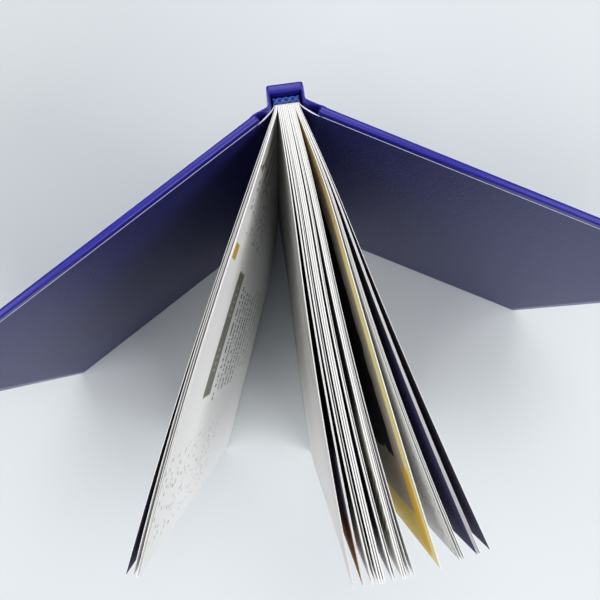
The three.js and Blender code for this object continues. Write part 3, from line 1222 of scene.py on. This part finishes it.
    def _endpaper_fold(self) -> Object:
        """Endpaper from the block's shoulder across the joint to the pastedown."""
        sizes = self.sizes
        place = CoverPlace(Side.BACK, sizes)
        level = -sizes.sheet_offset
        root = np.array([3.98, sizes.block_back - 0.1])
        shoulder = np.array([4.25, sizes.block_back - 0.75])
        sag = np.array([6.0, sizes.block_back - 2.35])
        board = place.plan(self.board_start + 0.2, level)
        seat = place.plan(self.board_start + 1.4, level)
        across, upwards = self.fold_grid
        route = smooth_route(np.stack([root, shoulder, sag, board, seat]), across)
        heights = np.linspace(sizes.squares, sizes.case_height - sizes.squares, upwards)
        along = np.linspace(0, 1, len(route))[:, None]
        loose = smooth_step(along, 0.0, 0.3) * (1 - smooth_step(along, 0.6, 1.0))
        full = self.endpaper_thickness + (self.fold_thickness - self.endpaper_thickness) * loose
        surface = self._swept(route, heights, full + 0 * heights)
        finishes = [self.edge, self.endpaper, self.edge]
        piece = make_object(f"{self.side.label}_endpaper_fold", surface, finishes)
        self._hang(piece)
        return piece


def end_weighted(low: float, high: float, count: int) -> np.ndarray:
    """Values from low to high that lie closer together towards both ends, by a cosine."""
    return low + (high - low) * (1 - np.cos(np.linspace(0, math.pi, count))) / 2


def smooth_route(knots: np.ndarray, count: int, between: int = 16) -> np.ndarray:
    """Smooth curve through a few knots in plan: a Catmull-Rom spline, evenly respaced.

    Args:
        knots: Points that the curve passes through.
        count: Points wanted along it.
        between: Points worked out from each knot to the next.

    Returns:
        The points of the curve.
    """
    padded = np.concatenate([2 * knots[:1] - knots[1:2], knots, 2 * knots[-1:] - knots[-2:-1]])
    t = np.linspace(0, 1, between, endpoint=False)[:, None]
    pieces = []
    for i in range(len(knots) - 1):
        p0, p1, p2, p3 = padded[i : i + 4]
        cubic = 2 * p1 + (p2 - p0) * t + (2 * p0 - 5 * p1 + 4 * p2 - p3) * t**2
        pieces.append(0.5 * (cubic + (3 * p1 - p0 - 3 * p2 + p3) * t**3))
    curve = np.concatenate([*pieces, knots[-1:]])
    length = np.concatenate([[0], np.cumsum(np.linalg.norm(np.diff(curve, axis=0), axis=1))])
    even = np.linspace(0, length[-1], count)
    return np.stack([np.interp(even, length, curve[:, axis]) for axis in range(2)], axis=-1)


@dataclass
class Spine:
    """Spine strip in its sheet, the lining on the block's back and the two woven bands.

    Attributes:
        cross_pitch: Length of one wave of the crossing threads.
        cross_swing: How far they swing round the cord, in degrees.
        cross_middle: Angle round the cord that they swing about, in degrees.
        cross_spread: How far the outer strands lie beside the middle one, in radians.
        cross_lift: Height of the crossing threads over the cord and how far they weave above
            and below it, in radii of a thread.
        cross_weight: Radius of a crossing thread, as a share of a loop's.
        ribbon_faces: Distances of the ribbon's two faces from the back of the block.
        ribbon_inset: How far the ribbon stays within the band's ends.
        ribbon_length: How far the band's ribbon reaches down the block.
    """

    sheet: Material
    sizes: BookSizes = SIZES
    corner_radius: float = 0.7
    edge_radius: float = 0.7
    band_width: float = 8.0
    band_rise: float = 0.3
    thread_pitch: float = 0.25
    thread_radius: float = 0.14
    cross_pitch: float = 4.0
    cross_swing: float = 62.0
    cross_middle: float = 98.0
    cross_spread: float = 0.3
    cross_lift: Pair = (1.2, 0.5)
    cross_weight: float = 0.8
    cross_points: int = 81
    loop_points: int = 14
    thread_sides: int = 6
    ribbon_length: float = 8.0
    ribbon_faces: Pair = (0.02, 0.3)
    ribbon_inset: float = 0.2
    ribbon_radius: float = 0.1

    def build(self) -> list[Object]:
        """Builds the spine's pieces and puts them on the block."""
        pieces = [self._strip()]
        bright = WovenThread("royal_blue_thread", "#2E6FE6").material()
        deep = WovenThread("deep_blue_thread", "#0B1B66").material()
        for node, end in (("head_band", 1), ("tail_band", -1)):
            pieces.append(self._band(node, end, bright, deep))
        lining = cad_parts["spine_lining"]
        lining.data.materials.clear()
        lining.data.materials.append(KraftLining().material())
        for piece in pieces:
            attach(piece, "block")
        return pieces

    def _strip(self) -> Object:
        """Stiff strip of the spine in the covering sheet."""
        sizes = self.sizes
        slab = rounded_slab(
            (-sizes.spine_width / 2, -sizes.spine_thickness / 2, 0.0),
            (sizes.spine_width / 2, sizes.spine_thickness / 2, sizes.case_height),
            self.corner_radius,
            self.edge_radius,
        )
        piece = make_object("spine_case_strip", slab, [self.sheet])
        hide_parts("spine_wrap", "spine_board")
        return piece

    def _band(
        self, node: str, end: int, bright: Material, deep: Material
    ) -> Object:
        """Woven band: threads looped side by side round a cord, on a ribbon pasted to the block.

        Args:
            node: Node that the band stands for.
            end: 1 at the head, -1 at the tail.
            bright: Finish of the lighter thread.
            deep: Finish of the darker thread and the ribbon.

        Returns:
            The band.
        """
        sizes = self.sizes
        middle_z = sizes.case_height / 2 + end * (sizes.leaf_height / 2 + self.band_rise)
        middle_y = sizes.block_back + 0.05 + sizes.band_diameter / 2
        core = sizes.band_diameter / 2 - 2 * self.thread_radius
        half = self.band_width / 2

        def round_cord(x: np.ndarray, angle: np.ndarray, radius: Any) -> np.ndarray:
            """Points at an angle round the cord, which runs along X."""
            height = middle_z + end * radius * np.sin(angle)
            return np.stack([x, middle_y + radius * np.cos(angle), height], axis=-1)

        turn = np.linspace(0, 2 * math.pi, self.loop_points, endpoint=False)
        surfaces = []
        loops = int(self.band_width / self.thread_pitch)
        for loop in range(loops):
            x = (loop + 0.5) * self.thread_pitch - half
            path = round_cord(x + 0 * turn, turn, core)
            ring = tube(path, self.thread_radius, self.thread_sides, closed=True)
            ring.tints[:] = 1
            surfaces.append(ring)
        x = np.linspace(-half, half, self.cross_points)
        rise, weave = self.cross_lift
        radius = self.thread_radius * self.cross_weight
        wave = 2 * math.pi * (x + half) / self.cross_pitch
        for shift in np.linspace(-self.cross_spread, self.cross_spread, 3):
            for sign in (-1, 1):
                swing = sign * self.cross_swing * np.cos(wave)
                angle = np.radians(self.cross_middle + swing) + shift
                lift = core + self.thread_radius * (rise + weave * sign * np.sin(wave))
                surfaces.append(tube(round_cord(x, angle, lift), radius, self.thread_sides))
        rod = round_cord(np.linspace(-half, half, 5), np.zeros(5), 0.0)
        heart = tube(rod, core, self.loop_points)
        heart.tints[:] = 1
        surfaces.append(heart)
        ribbon_low = middle_z - end * self.ribbon_length
        near, far = self.ribbon_faces
        reach = half - self.ribbon_inset
        ribbon = rounded_slab(
            (-reach, sizes.block_back + near, min(ribbon_low, middle_z)),
            (reach, sizes.block_back + far, max(ribbon_low, middle_z)),
            self.ribbon_radius,
            self.ribbon_radius,
            steps=2,
        )
        ribbon.tints[:] = 1
        surfaces.append(ribbon)
        piece = make_object(f"{node}_weave", joined(surfaces), [bright, deep])
        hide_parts(node)
        return piece


# The studio


@dataclass(frozen=True)
class Softbox:
    """One rectangular soft lamp, aimed at the book; place and size in metres, power in watts."""

    name: str
    place: Triple
    watts: float
    size: Pair = (1.4, 1.0)


@dataclass(frozen=True)
class Studio:
    """Pale floor, a ring of soft lamps overhead and the camera over the head of the book.

    The camera's place and tilt are real sizes that put the book where it is seen from:
    about 200 mm over its head, nearly straight down.
    """

    floor_colour: str = "#D9DDDF"
    floor_reach_mm: float = 1500.0
    floor_roughness: float = 0.85
    floor_specular: float = 0.15
    world_colour: str = "#E2EDFF"
    world_strength: float = 0.155
    lamps: tuple[Softbox, ...] = (
        Softbox("fore_edge_softbox", (1.1, -1.3, 1.9), 25.5),
        Softbox("right_softbox", (1.1, -0.3, 2.2), 15.2),
        Softbox("left_softbox", (-1.1, -0.6, 2.2), 25.0),
        Softbox("spine_softbox", (0.0, 1.1, 2.2), 17.5),
    )
    aim: Triple = (0.0, -0.05, 0.1)
    camera_mm: Triple = (-11.94, -72.05, 416.35)
    camera_turn: Triple = (2.283, -2.086, -8.176)
    focal_mm: float = 40.59
    sensor_mm: float = 36.0
    near_clip: float = 0.005

    def build(self) -> None:
        """Builds the floor, the lights and the camera."""
        self._floor()
        self._lights()
        self._camera()

    def _floor(self) -> None:
        """Large pale sheet that the book stands on."""
        material, tree, shader = new_material("pale_backdrop_paper")
        inputs = {
            "Base Color": linear(self.floor_colour),
            "Roughness": self.floor_roughness,
            "Specular IOR Level": self.floor_specular,
        }
        fill_inputs(tree, shader, inputs)
        corners = self.floor_reach_mm * np.array([(-1, -1, 0), (1, -1, 0), (1, 1, 0), (-1, 1, 0)])
        surface = Surface(corners, [(0, 1, 2, 3)], np.zeros((4, 2)), np.zeros(1, dtype=int))
        floor = make_object("floor", surface, [material])

    def _lights(self) -> None:
        """Faint even sky and the ring of soft lamps."""
        world = bpy.data.worlds.new("studio")
        world.use_nodes = True
        bpy.context.scene.world = world
        sky = world.node_tree.nodes["Background"]
        sky.inputs["Color"].default_value = linear(self.world_colour)
        sky.inputs["Strength"].default_value = self.world_strength
        for softbox in self.lamps:
            lamp = bpy.data.lights.new(softbox.name, "AREA")
            lamp.shape = "RECTANGLE"
            lamp.size, lamp.size_y = softbox.size
            lamp.energy = softbox.watts
            stand = bpy.data.objects.new(softbox.name, lamp)
            stand.location = softbox.place
            direction = Vector(self.aim) - stand.location
            stand.rotation_euler = direction.to_track_quat("-Z", "Y").to_euler()
            bpy.context.scene.collection.objects.link(stand)

    def _camera(self) -> None:
        """Camera over the head of the book."""
        data = bpy.data.cameras.new("camera")
        data.sensor_width = self.sensor_mm
        data.lens = self.focal_mm
        data.clip_start = self.near_clip
        camera = bpy.data.objects.new("camera", data)
        tilt_x, tilt_y, roll = (math.radians(value) for value in self.camera_turn)
        turn = Matrix.Rotation(tilt_x, 4, "X") @ Matrix.Rotation(tilt_y, 4, "Y")
        turn = turn @ Matrix.Rotation(roll, 4, "Z")
        camera.matrix_world = Matrix.Translation(Vector(self.camera_mm) * MM) @ turn
        bpy.context.scene.collection.objects.link(camera)
        bpy.context.scene.camera = camera


def main() -> None:
    """Builds the book and the studio, in order, and reports each piece."""
    logging.basicConfig(level=logging.INFO, format="%(name)s: %(message)s")
    bpy.context.scene.view_settings.view_transform = "Standard"
    sheet = LaminatedSheet().material()
    endpaper = NavyEndpaper().material()
    edge = PrintedPaper("endpaper_cut_edge", paper="#D9D6E8").material()
    builders: list[Callable[[], list[Object]]] = [
        TextBlock().build,
        Spine(sheet).build,
        Cover(Side.FRONT, sheet, endpaper, edge).build,
        Cover(Side.BACK, sheet, endpaper, edge).build,
    ]
    for build in builders:
        for piece in build():
            LOG.info("%s: %d faces", piece.name, len(piece.data.polygons))
    Studio().build()


if __name__ == "__main__":
    main()
